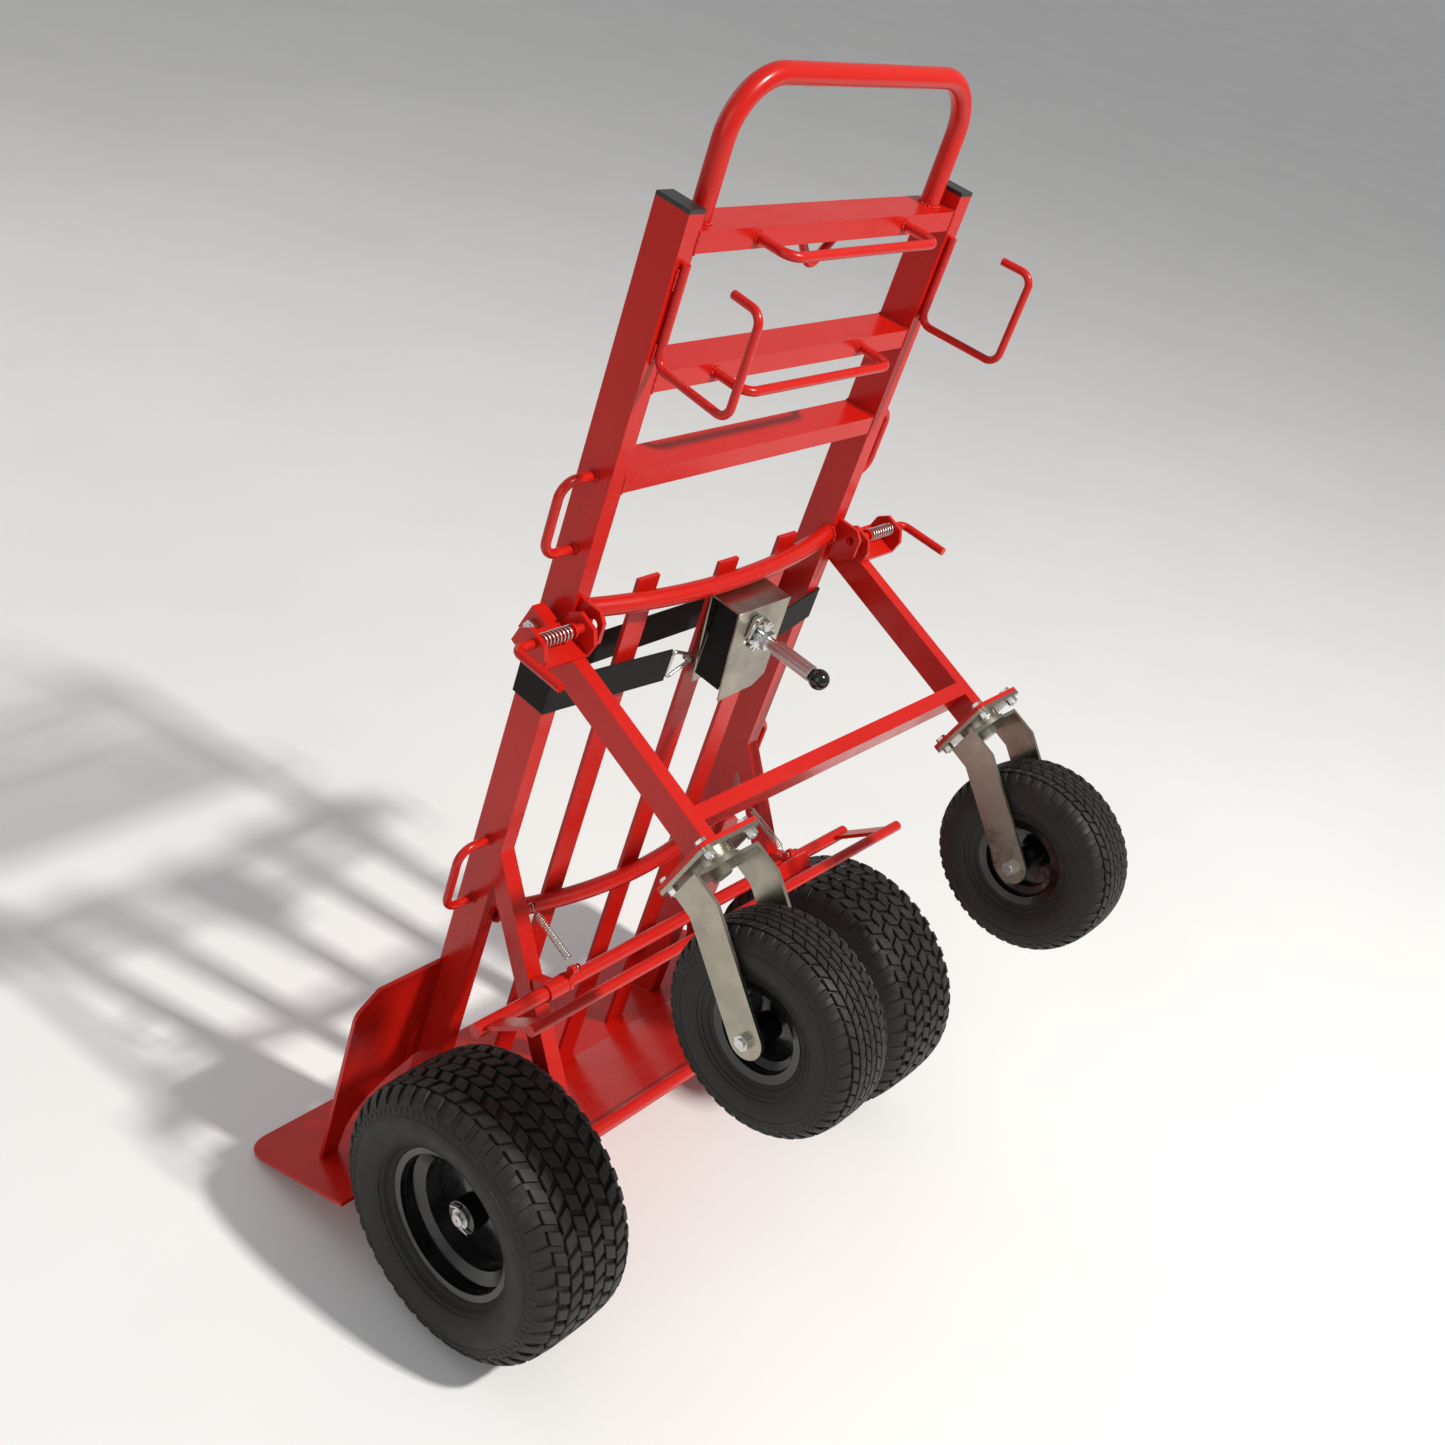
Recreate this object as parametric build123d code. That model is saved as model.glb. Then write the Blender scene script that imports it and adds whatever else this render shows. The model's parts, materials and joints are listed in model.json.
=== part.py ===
from build123d import *
import os
from math import asin, atan2, cos, hypot, radians, sin, degrees

os.makedirs("parts", exist_ok=True)

# Convertible hand truck, modelled in its loading attitude: toe plate level, rails leaning
# rearwards (+Y), operator's left on +X, Z measured from the bottom of the main wheels.
# Sizes in millimetres and degrees.

# Frame rails: rectangular tube, measured up the rail (s) and rearwards from its rear face (n)
rail_lean = 25.6
rail_foot_y = -133.9
frame_width = 540.0
rail_width = 25.0
rail_depth = 50.0
tube_wall = 2.5
rail_top = 1605.0
crossbar_tops = (1586.0, 1425.0, 1297.0)

# Round tube and rod
loop_tube = 25.0
loop_leg_x = 220.0
loop_height = 155.0
loop_bend = 70.0
bail_rod = 12.0
bail_reach = 50.0
bail_half = 142.0
hook_rod = 10.0
grip_rod = 12.0
grip_reach = 50.0
grip_heights = ((1286.0, 1188.0), (733.0, 628.0))
upper_tube_s = 1110.0
upper_tube_bow = 34.0
lower_tube_s = 605.0
lower_tube_bow = 44.0
slat_width = 38.0
slat_thickness = 6.0

# Toe plate and wheel guards
plate_top = 156.0
plate_thickness = 6.0
plate_half = 465.0
plate_front = -230.0
plate_corner = 40.0
apron_start = -12.0
guard_thickness = 6.0
guard_top = 488.0
guard_half = 414.0

# Main wheels and axle
axle_y = 219.6
wheel_radius = 203.0
wheel_x = 386.5
wheel_width = 176.0
tyre_wall = 9.0
rim_radius = 103.0
axle_rod = 19.0
strut_depth = 30.0
axle_half = 437.0
hub_radius = 24.0

# Brake
brake_y = 248.0
brake_z = 474.0
brake_bar = 20.0
press_bar = 16.0
press_y = 352.0
press_z = 508.0
brake_half = 398.0
sleeve_length = 34.0
brake_spring_out = 11.0

# Folding rear legs: t runs down the leg from its pivot, m is across it, upwards
leg_angle = 43.7
pivot_s = 1084.0
leg_x = 290.0
leg_width = 20.0
leg_depth = 40.0
leg_length = 338.0
leg_bar_t = 288.0
pivot_bolt = 12.0
lock_pin_t = 42.0
lock_pin_m = 45.0
lock_pin_rod = 12.0
lock_travel = 15.0

# Strap winch hung under the upper cross tube: drum axis square to the rails, in rail coordinates
winch_x = (-72.0, 35.0)
winch_n = (26.0, 76.0)
winch_sheet = 2.5
drum_x = -27.0
drum_s = 1049.0
roll_radius = 40.0
winch_shaft = 16.0
knob_n = 184.0
knob_radius = 14.0
strap_width = 50.0
strap_thickness = 2.5
strap_s = 988.0

# Casters
caster_trail = 69.0
caster_drop = 534.0
caster_radius = 133.0
caster_width = 96.0
caster_rim = 54.0
fork_plate = 5.0
fork_width = 47.0

# Fits
running = 0.06
skin = 0.3
gap = 1.5

inner_x = frame_width / 2 - rail_width
outer_x = frame_width / 2
sl = sin(radians(rail_lean))
cl = cos(radians(rail_lean))
RAIL = Plane(origin=(0, rail_foot_y, 0), x_dir=(1, 0, 0), z_dir=(0, -cl, sl))


def at_rail(x, s, n):
    return Vector(x, rail_foot_y + s * sl + n * cl, s * cl - n * sl)


pivot = at_rail(0, pivot_s, -rail_depth / 2)
la = radians(leg_angle)
LEG = Plane(origin=pivot, x_dir=(1, 0, 0), z_dir=(0, sin(la), cos(la)))


def at_leg(x, t, m):
    return pivot + Vector(x, t * cos(la) + m * sin(la), m * cos(la) - t * sin(la))


def box(x, y, z):
    size = (x[1] - x[0], y[1] - y[0], z[1] - z[0])
    return Pos(x[0], y[0], z[0]) * Box(*size, align=(Align.MIN, Align.MIN, Align.MIN))


def rail_box(x, s, n):
    return RAIL.location * box(x, s, (-n[1], -n[0]))


def leg_box(x, t, m):
    return LEG.location * box(x, t, m)


def across(x0, x1, y, z, radius):
    """Round bar along X between x0 and x1."""
    return Pos((x0 + x1) / 2, y, z) * Rot(0, 90, 0) * Cylinder(radius, x1 - x0)


def ring_across(x0, x1, y, z, radius, bore):
    return across(x0, x1, y, z, radius) - across(x0 - 1, x1 + 1, y, z, bore)


def mirrored(shape):
    return mirror(shape, about=Plane.YZ)


def bent_path(points, bend):
    """Polyline through the points with each corner rounded to the bend radius."""
    points = [Vector(*p) if isinstance(p, tuple) else p for p in points]
    edges = []
    start = points[0]
    for before, corner, after in zip(points, points[1:], points[2:]):
        into = (corner - before).normalized()
        out = (after - corner).normalized()
        turn = radians(into.get_angle(out))
        reach = bend * abs(sin(turn / 2) / cos(turn / 2))
        a = corner - into * reach
        b = corner + out * reach
        inwards = (out - into).normalized()
        middle = corner + inwards * (bend / cos(turn / 2) - bend)
        edges.append(Edge.make_line(start, a))
        edges.append(Edge.make_three_point_arc(a, middle, b))
        start = b
    edges.append(Edge.make_line(start, points[-1]))
    return Wire(edges)


def rod(points, diameter, bend, bore=0.0):
    path = bent_path(points, bend)
    profile = Plane(origin=path @ 0, z_dir=path % 0) * Circle(diameter / 2)
    body = sweep(profile, path=path)
    if bore:
        body -= sweep(Plane(origin=path @ 0, z_dir=path % 0) * Circle(bore / 2), path=path)
    return body


def hexagon_across(x0, x1, y, z, flats):
    prism = extrude(RegularPolygon(flats / 2, 6, major_radius=False), x1 - x0)
    return Pos(x0, y, z) * Rot(0, 90, 0) * prism


def turned(profile, x, y, z):
    """Solid of revolution about an X axis through (x, y, z); profile is (along, radius)."""
    face = make_face(Polyline(*profile, close=True))
    return Pos(x, y, z) * revolve(face, Axis.X)


parts = {}

# Side rails with plastic end caps, cut level where they stand on the toe plate
below_plate = box((-600, 600), (-400, 400), (-200, plate_top))
rail = rail_box((inner_x, outer_x), (100, rail_top), (-rail_depth, 0))
rail -= rail_box(
    (inner_x + tube_wall, outer_x - tube_wall),
    (90, rail_top + 1),
    (tube_wall - rail_depth, -tube_wall),
)
parts["rail_left"] = rail - below_plate
parts["rail_right"] = mirrored(parts["rail_left"])
cap = rail_box((inner_x, outer_x), (rail_top, rail_top + 5), (-rail_depth, 0))
cap = chamfer(cap.edges().group_by(Axis.Z)[-1], 1)
cap += rail_box(
    (inner_x + tube_wall + skin, outer_x - tube_wall - skin),
    (rail_top - 18, rail_top),
    (tube_wall + skin - rail_depth, -tube_wall - skin),
)
parts["rail_caps"] = cap + mirrored(cap)


def crossbar(top):
    bar = rail_box((-inner_x, inner_x), (top - rail_width, top), (-rail_depth, 0))
    return bar - rail_box(
        (-inner_x - 1, inner_x + 1),
        (top - rail_width + tube_wall, top - tube_wall),
        (tube_wall - rail_depth, -tube_wall),
    )


parts["upper_crossbar"] = crossbar(crossbar_tops[0])
parts["middle_crossbar"] = crossbar(crossbar_tops[1])
parts["lower_crossbar"] = crossbar(crossbar_tops[2])

# Push handle standing on the upper crossbar
loop_top = crossbar_tops[0] + loop_height
loop_n = -rail_depth / 2
parts["handle_loop"] = rod(
    [
        at_rail(loop_leg_x, crossbar_tops[0], loop_n),
        at_rail(loop_leg_x, loop_top, loop_n),
        at_rail(-loop_leg_x, loop_top, loop_n),
        at_rail(-loop_leg_x, crossbar_tops[0], loop_n),
    ],
    loop_tube,
    loop_bend,
    loop_tube - 2 * tube_wall,
)


def bail(s):
    return rod(
        [
            at_rail(bail_half, s, 0),
            at_rail(bail_half, s, bail_reach),
            at_rail(-bail_half, s, bail_reach),
            at_rail(-bail_half, s, 0),
        ],
        bail_rod,
        18,
    )


bails = bail(crossbar_tops[0] - rail_width / 2) + bail(crossbar_tops[1] - rail_width / 2)

# Small V hook under the upper crossbar
hook_top = crossbar_tops[0] - rail_width
center_hook = rod(
    [at_rail(38, hook_top + 3, -20), at_rail(0, hook_top - 42, -20), at_rail(-38, hook_top + 3, -20)],
    11,
    12,
)
bails += center_hook - rail_box((-60, 60), (hook_top, hook_top + 30), (-rail_depth, 0))

parts["bails"] = bails

# Cord hooks welded up the rear face of each rail
hook_n = hook_rod / 2
cord_hook = rod(
    [
        at_rail(257, 1553, hook_n),
        at_rail(257, 1436, hook_n),
        at_rail(269, 1436, 122),
        at_rail(269, 1556, 122),
        at_rail(264, 1556, 78),
    ],
    hook_rod,
    16,
)
parts["cord_hooks"] = cord_hook + mirrored(cord_hook)


def grip(high, low):
    n = -rail_depth / 2
    return rod(
        [
            at_rail(outer_x, high, n),
            at_rail(outer_x + grip_reach, high, n),
            at_rail(outer_x + grip_reach, low, n),
            at_rail(outer_x, low, n),
        ],
        grip_rod,
        22,
    )


grips = grip(*grip_heights[0]) + grip(*grip_heights[1])
parts["side_grips"] = grips + mirrored(grips)


# Curved cross tubes that cradle drums, bowed rearwards between the rails
def bowed_tube(s, bow, trim):
    path = Edge.make_three_point_arc(
        at_rail(inner_x + 8, s, -7), at_rail(0, s, bow - 7), at_rail(-inner_x - 8, s, -7)
    )
    wire = Wire([path])
    tube = sweep(Plane(origin=wire @ 0, z_dir=wire % 0) * Circle(loop_tube / 2), path=wire)
    bore = Circle(loop_tube / 2 - tube_wall)
    tube -= sweep(Plane(origin=wire @ 0, z_dir=wire % 0) * bore, path=wire)
    return tube & box((-inner_x, inner_x), (-900, 1500), (0, 2000))


parts["upper_cross_tube"] = bowed_tube(upper_tube_s, upper_tube_bow, inner_x)
parts["lower_cross_tube"] = bowed_tube(lower_tube_s, lower_tube_bow, inner_x)


# Flat slats in front of the cross tubes, running down to the toe plate
def bow_n(bow, x):
    """Front of a bowed tube at x, measured rearwards from the rails' rear faces."""
    arc_radius = ((inner_x + 8) ** 2 + bow**2) / (2 * bow)
    return (arc_radius**2 - x**2) ** 0.5 - arc_radius + bow - 7 - loop_tube / 2


def slat(x):
    top_n = bow_n(upper_tube_bow, abs(x) + slat_width / 2) - skin
    low_n = bow_n(lower_tube_bow, abs(x) + slat_width / 2) - skin
    slope = (top_n - low_n) / (upper_tube_s - lower_tube_s)
    start = at_rail(0, 0, low_n - slope * lower_tube_s)
    end = at_rail(0, upper_tube_s + 22, low_n + slope * (upper_tube_s + 22 - lower_tube_s))
    along = (end - start).normalized()
    frame = Plane(origin=start, x_dir=(1, 0, 0), z_dir=Vector(1, 0, 0).cross(along))
    span = (x - slat_width / 2, x + slat_width / 2)
    bar = frame.location * box(span, (60, (end - start).length), (0, slat_thickness))
    return bar - below_plate


parts["slats"] = slat(140) + slat(0) + slat(-140)

# Toe plate: wide flat toe, then a narrower apron that rises to the axle
toe = box((-plate_half, plate_half), (plate_front, 4), (plate_top - plate_thickness, plate_top))
toe = fillet(toe.edges().filter_by(Axis.Z).group_by(Axis.Y)[0], plate_corner)
apron_half = 268.0
apron_end_y = axle_y - 2
apron_end_z = wheel_radius - axle_rod / 2 - skin
apron_rise = atan2(apron_end_z - plate_top, apron_end_y - apron_start)
apron_length = (apron_end_y - apron_start) / cos(apron_rise)
apron = box((-apron_half, apron_half), (0, apron_length), (-plate_thickness, 0))
apron = Pos(0, apron_start, plate_top) * Rot(degrees(apron_rise), 0, 0) * apron
heel = box((-apron_half, apron_half), (apron_start - 3, 6), (plate_top - 6, plate_top))
parts["toe_plate"] = toe + apron + heel

# Wheel guards: flat plates level with the rails' front faces
guard_n = -rail_depth
outline = Polyline(
    (outer_x, guard_top),
    (guard_half - 34, guard_top),
    (guard_half, guard_top - 34),
    (guard_half, 120),
    (385, 120),
    (385, 165),
    (381, 201),
    (371, 227),
    (352, 252),
    (318, 276),
    (outer_x, 296),
    close=True,
)
guard = extrude(make_face(outline), -guard_thickness)
guard = fillet(guard.edges().filter_by(Axis.Z).group_by(Axis.X)[-1].group_by(Axis.Y)[-1], 30)
guard = RAIL.location * Pos(0, 0, -guard_n) * guard
guard -= below_plate
parts["wheel_guards"] = guard + mirrored(guard)

# Struts from the rails' rear faces down to the axle
strut_top = at_rail(0, 727, 0)
strut_foot = Vector(0, axle_y + 49, wheel_radius - 18)
strut_run = strut_top - strut_foot
strut_axis = strut_run.normalized()
STRUT = Plane(origin=strut_foot, x_dir=(1, 0, 0), z_dir=Vector(1, 0, 0).cross(strut_axis))
strut = STRUT.location * box((inner_x, outer_x), (0, strut_run.length), (0, strut_depth))
strut -= STRUT.location * box(
    (inner_x + tube_wall, outer_x - tube_wall),
    (-1, strut_run.length + 1),
    (tube_wall, strut_depth - tube_wall),
)
strut -= rail_box((0, 400), (0, 1200), (-200, 0))
parts["struts"] = strut + mirrored(strut)


def strut_rear(z):
    return strut_foot.Y + (z - strut_foot.Z) * strut_run.Y / strut_run.Z


# Axle, its brackets on the struts, spacers, washers and split pins
axle = across(-axle_half, axle_half, axle_y, wheel_radius, axle_rod / 2)
pin_x = axle_half - 5
for side in (-1, 1):
    axle -= Pos(side * pin_x, axle_y, wheel_radius) * Cylinder(2.2, 40)
parts["axle"] = axle
bracket = box((inner_x - 6, inner_x), (axle_y - 18, axle_y + 44), (wheel_radius - 18, wheel_radius + 34))
bracket = fillet(bracket.edges().filter_by(Axis.X), 10)
bracket -= across(inner_x - 10, inner_x + 4, axle_y, wheel_radius, axle_rod / 2)
bracket -= Pos(0, apron_start, plate_top) * Rot(degrees(apron_rise), 0, 0) * box(
    (0, 400), (0, 400), (-100, 0)
)
parts["axle_brackets"] = bracket + mirrored(bracket)
hub_half = 42.0
spacer_bore = axle_rod / 2 + running
spacer = ring_across(outer_x + 0.5, wheel_x - hub_half - 1, axle_y, wheel_radius, 14, spacer_bore)
parts["axle_spacers"] = spacer + mirrored(spacer)
washer_x = wheel_x + hub_half + 0.5
washer = ring_across(washer_x, washer_x + 2.5, axle_y, wheel_radius, 14.5, spacer_bore)
split_pin = rod(
    [
        Vector(pin_x, axle_y - 15, wheel_radius + 14),
        Vector(pin_x, axle_y, wheel_radius + 17),
        Vector(pin_x, axle_y, wheel_radius - 14),
        Vector(pin_x, axle_y + 13, wheel_radius - 19),
    ],
    3.6,
    3,
)
retainer = washer + split_pin
parts["axle_retainers"] = retainer + mirrored(retainer)


# Pneumatic tyres: hollow carcass with circumferential grooves
def tyre(half, radius, bead, wall, grooves):
    def contour(h, r, b):
        bead_side = Line((h * 0.66, b), (h * 0.66, b + 10))
        side = ThreePointArc(bead_side @ 1, (h, (r + b) / 2), (h * 0.9, r * 0.93))
        shoulder = ThreePointArc(side @ 1, (h * 0.83, r * 0.965), (h * 0.7, r * 0.987))
        crown = ThreePointArc(shoulder @ 1, (0, r), (-h * 0.7, r * 0.987))
        far_shoulder = ThreePointArc(crown @ 1, (-h * 0.83, r * 0.965), (-h * 0.9, r * 0.93))
        far_side = ThreePointArc(far_shoulder @ 1, (-h, (r + b) / 2), (-h * 0.66, b + 10))
        far_bead = Line(far_side @ 1, (-h * 0.66, b))
        foot = Line(far_bead @ 1, bead_side @ 0)
        return make_face([bead_side, side, shoulder, crown, far_shoulder, far_side, far_bead, foot])

    profile = contour(half, radius, bead) - contour(half - wall, radius - wall, bead - 0.01)
    low = Pos(0, bead - 1) * Rectangle(4 * half, 2.01)
    profile -= low
    for along in grooves:
        profile -= Pos(along, radius) * Rectangle(4, 9)
    return revolve(profile, Axis.X)


main_tyre = tyre(wheel_width / 2, wheel_radius, rim_radius + 1.3, tyre_wall, (-45, -15, 15, 45))
caster_tyre = tyre(caster_width / 2, caster_radius, caster_rim + 1.3, 7.0, (-22, 0, 22))


# Pressed steel wheels: drop-centre rim, dished disc and hub tube
def pressed_wheel(half, radius, hub, bore, hub_length, dish):
    drop = radius * 0.84
    band = [
        (-half - 5, radius + 8),
        (-half - 2, radius + 9),
        (-half, radius + 1),
        (-half * 0.64, radius),
        (-half * 0.5, drop),
        (half * 0.5, drop),
        (half * 0.64, radius),
        (half, radius + 1),
        (half + 2, radius + 9),
        (half + 5, radius + 8),
        (half + 3, radius - 2.5),
        (half * 0.64 + 2.5, radius - 3),
        (half * 0.5 + 2, drop - 3),
        (-half * 0.5 - 2, drop - 3),
        (-half * 0.64 - 2.5, radius - 3),
        (-half - 3, radius - 2.5),
    ]
    disc = [
        (dish - 8, drop - 1),
        (dish - 5, drop - 1),
        (dish - 1, radius * 0.55),
        (dish + 4, hub - 1),
        (dish, hub - 1),
        (dish - 5, radius * 0.55),
    ]
    wheel = turned(band, 0, 0, 0) + turned(disc, 0, 0, 0)
    wheel += across(-hub_length / 2, hub_length / 2, 0, 0, hub)
    return wheel - across(-hub_length, hub_length, 0, 0, bore)


main_bore = axle_rod / 2 + running
main_rim = pressed_wheel(wheel_width * 0.33, rim_radius, hub_radius, main_bore, 84, 12)
valve = Pos(27, 80, 0) * Rot(0, 60, 0) * Cylinder(4, 44)
main_rim += valve
place = Pos(wheel_x, axle_y, wheel_radius)
parts["tyre_left"] = place * main_tyre
parts["tyre_right"] = mirrored(parts["tyre_left"])
parts["rim_left"] = place * main_rim
parts["rim_right"] = mirrored(parts["rim_left"])

# Brake: pivot bar in sleeves behind the struts, press bar carried on two flat links
sleeve_x = inner_x + rail_width / 2
sleeve_span = (sleeve_x - sleeve_length / 2, sleeve_x + sleeve_length / 2)
lug = box((inner_x + 3, outer_x - 3), (strut_rear(brake_z - 8), brake_y), (brake_z - 8, brake_z + 8))
lug -= STRUT.location * box((0, 400), (-100, 900), (0, 60))
sleeve = across(*sleeve_span, brake_y, brake_z, brake_bar / 2 + 3.5) + lug
sleeve -= across(200, 300, brake_y, brake_z, brake_bar / 2 + running)
post_y = strut_rear(566) - 12
post_z = 566.0
stud_x = (224.0, 225.5)
post = across(stud_x[1], inner_x, post_y, post_z, 3) + across(*stud_x, post_y, post_z, 5)
sleeve += post
parts["brake_sleeves"] = sleeve + mirrored(sleeve)
parts["brake_pivot_bar"] = across(-brake_half, brake_half, brake_y, brake_z, brake_bar / 2)
parts["brake_press_bar"] = across(-brake_half, brake_half, press_y, press_z, press_bar / 2)
link_run = hypot(press_y - brake_y, press_z - brake_z)
link_turn = degrees(atan2(press_z - brake_z, press_y - brake_y))
link = box((362, 390), (0, link_run), (-3, 3))
link = Pos(0, brake_y, brake_z) * Rot(link_turn, 0, 0) * link
link -= across(300, 400, brake_y, brake_z, brake_bar / 2)
link -= across(300, 400, press_y, press_z, press_bar / 2)
pedal = box((-240, -160), (0, 58), (-2.5, 2.5))
pedal += box((-240, -160), (53, 58), (-26, 2.5))
pedal = Pos(0, press_y, press_z - 6) * Rot(-158, 0, 0) * pedal
pedal -= across(-300, 300, press_y, press_z, press_bar / 2)
parts["brake_pedal"] = pedal
collar_x = (233.0, sleeve_span[0] - 0.5)
eye_y = brake_y + 15
eye_z = brake_z + 23
collar = across(*collar_x, brake_y, brake_z, brake_bar / 2 + 4)
collar += across(*collar_x, eye_y, eye_z, 6.5)
collar += Pos(0, brake_y, brake_z) * Rot(degrees(atan2(23, 15)), 0, 0) * box(collar_x, (0, 26), (-5, 5))
collar -= across(200, 300, brake_y, brake_z, brake_bar / 2)
collar += across(stud_x[1], collar_x[0], eye_y, eye_z, 3) + across(*stud_x, eye_y, eye_z, 5)
link += collar
parts["brake_links"] = link + mirrored(link)


def coil(start, end, radius, wire, turns, ends):
    """Helical spring between two points, with straight ends of the given length."""
    axis = (end - start).normalized()
    length = (end - start).length - 2 * ends
    helix = Helix(pitch=length / turns, height=length, radius=radius)
    profile = Plane(origin=helix @ 0, z_dir=helix % 0) * Circle(wire / 2)
    body = sweep(profile, path=Wire([helix]), is_frenet=True)
    frame = Plane(origin=start + axis * ends, z_dir=axis)
    return frame.location * body


def extension_spring(start, end, radius, wire, turns, ends):
    """Close coil with a ring at each end, the rings lying square to X."""
    axis = (end - start).normalized()
    frame = Plane(origin=start + axis * ends, z_dir=axis)
    body = coil(start, end, radius, wire, turns, ends)
    for centre, towards in ((start, axis), (end, axis * -1)):
        body += Plane(origin=centre, z_dir=(1, 0, 0)).location * Torus(4.2, wire / 2)
        joint = centre + towards * ends + frame.x_dir * radius
        body += rod([centre + towards * 4.2, centre + towards * (ends - 5), joint], wire, 1.5)
    return body


spring_x = 229.2
brake_spring = extension_spring(
    Vector(spring_x, post_y, post_z),
    Vector(spring_x, eye_y, eye_z),
    (brake_spring_out - 1.6) / 2,
    1.6,
    22,
    16.0,
)
parts["brake_springs"] = brake_spring + mirrored(brake_spring)

# Rear leg frame: two tubes, a crossbar, pivot studs on the rails
leg_span = (leg_x - leg_width / 2, leg_x + leg_width / 2)
leg_m = (-leg_depth / 2, leg_depth / 2)
leg = leg_box(leg_span, (-18, leg_length), leg_m)
leg -= leg_box(
    (leg_span[0] + 2, leg_span[1] - 2), (-16, leg_length - 2), (leg_m[0] + 2, leg_m[1] - 2)
)
for end in leg_span:
    leg += ring_across(end - 2 if end > leg_x else end, end if end > leg_x else end + 2,
                       pivot.Y, pivot.Z, pivot_bolt, 3)
leg -= across(leg_span[0] - 5, leg_span[1] + 5, pivot.Y, pivot.Z, pivot_bolt / 2 + running)
parts["leg_left"] = leg
parts["leg_right"] = mirrored(leg)
leg_bar = leg_box((-leg_span[0], leg_span[0]), (leg_bar_t, leg_bar_t + 20), leg_m)
leg_bar -= leg_box(
    (-leg_span[0] - 1, leg_span[0] + 1), (leg_bar_t + 2, leg_bar_t + 18), (leg_m[0] + 2, leg_m[1] - 2)
)
parts["leg_crossbar"] = leg_bar
stud = across(outer_x, leg_span[1] + 9, pivot.Y, pivot.Z, pivot_bolt / 2)
stud += across(outer_x, leg_span[0] - skin, pivot.Y, pivot.Z, 11)
stud += hexagon_across(leg_span[1] + skin, leg_span[1] + 8, pivot.Y, pivot.Z, 19)
parts["leg_pivot_studs"] = stud + mirrored(stud)

# Leg locks: channel on the leg, sprung pin with a bent handle, ear on the rail
channel_x = (outer_x + 4, leg_x + 70)
channel_t = (lock_pin_t - 26, lock_pin_t + 26)
channel_top = lock_pin_m + 12
base_m = leg_m[1]
channel = leg_box(channel_x, channel_t, (base_m, base_m + 5))
flange = Polyline(
    (channel_t[0], base_m),
    (channel_t[1], base_m),
    (channel_t[1], base_m + 22),
    (channel_t[1] - 12, channel_top),
    (channel_t[0] + 12, channel_top),
    (channel_t[0], base_m + 22),
    close=True,
)
flange = make_face(flange)
for x in (channel_x[0], channel_x[1] - 6):
    plate = Plane(origin=(0, 0, 0), x_dir=(0, 1, 0), z_dir=(1, 0, 0)).location * extrude(flange, 6)
    channel += LEG.location * Pos(x, 0, 0) * plate
pin_at = at_leg(0, lock_pin_t, lock_pin_m)
channel -= across(200, 400, pin_at.Y, pin_at.Z, lock_pin_rod / 2 + running)
parts["lock_channels"] = channel + mirrored(channel)
ear_x = (inner_x + 11, inner_x + 17)
pin_s = (pin_at.Y - rail_foot_y) * sl + pin_at.Z * cl
pin_n = (pin_at.Y - rail_foot_y) * cl - pin_at.Z * sl
ear = Polyline(
    (pin_s - 39, 0), (pin_s + 20, 0), (pin_s + 20, pin_n + 4), (pin_s + 8, pin_n + 14),
    (pin_s - 20, pin_n + 14), (pin_s - 39, pin_n - 8), close=True
)
ear = extrude(Plane(origin=(0, 0, 0), x_dir=(0, 1, 0), z_dir=(-1, 0, 0)) * make_face(ear), -6)
ear = RAIL.location * Pos(ear_x[0], 0, 0) * ear
ear -= across(200, 400, pin_at.Y, pin_at.Z, lock_pin_rod / 2 + 0.5)
parts["lock_ears"] = ear + mirrored(ear)
handle_x = channel_x[1] + 13 + lock_travel
pin = rod(
    [
        Vector(outer_x + 1, pin_at.Y, pin_at.Z),
        Vector(handle_x, pin_at.Y, pin_at.Z),
        at_leg(handle_x, lock_pin_t + 74, lock_pin_m + 24),
    ],
    lock_pin_rod,
    11,
)
collar_at = channel_x[0] + 6 + lock_travel + 1
pin += across(collar_at, collar_at + 3, pin_at.Y, pin_at.Z, 9.5)
parts["lock_pin_left"] = pin
parts["lock_pin_right"] = mirrored(pin)
lock_spring = coil(
    Vector(collar_at + 3.4 + 1.2, pin_at.Y, pin_at.Z),
    Vector(channel_x[1] - 6 - 1.6, pin_at.Y, pin_at.Z),
    8.0,
    2.2,
    9,
    0,
)
parts["lock_spring_left"] = lock_spring
parts["lock_spring_right"] = mirrored(lock_spring)

# Casters: base plate on the leg's end, top plate, fork with trail, wheel and axle bolt
plate_t = leg_length
base = leg_box((leg_x - 50, leg_x + 50), (plate_t, plate_t + 6), (-54, 54))
top = leg_box((leg_x - 50, leg_x + 50), (plate_t + 6, plate_t + 11), (-54, 54))
base = fillet(base.edges().filter_by(lambda e: abs(e.length - 6) < 0.01), 9)
top = fillet(top.edges().filter_by(lambda e: abs(e.length - 5) < 0.01), 9)
bolt_spots = [(leg_x + i * 37, m) for i in (-1, 1) for m in (-41, 41)]
ALONG = Plane(origin=(0, 0, 0), x_dir=(1, 0, 0), z_dir=(0, 1, 0))


def down_leg(x, m, t0, t1, radius):
    disc = Cylinder(radius, t1 - t0, align=(Align.CENTER, Align.CENTER, Align.MIN))
    return LEG.location * Pos(x, t0, m) * Rot(-90, 0, 0) * disc


def hex_down_leg(x, m, t0, t1, flats):
    prism = extrude(RegularPolygon(flats / 2, 6, major_radius=False), t1 - t0)
    return LEG.location * Pos(x, t0, m) * Rot(-90, 0, 0) * prism


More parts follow.
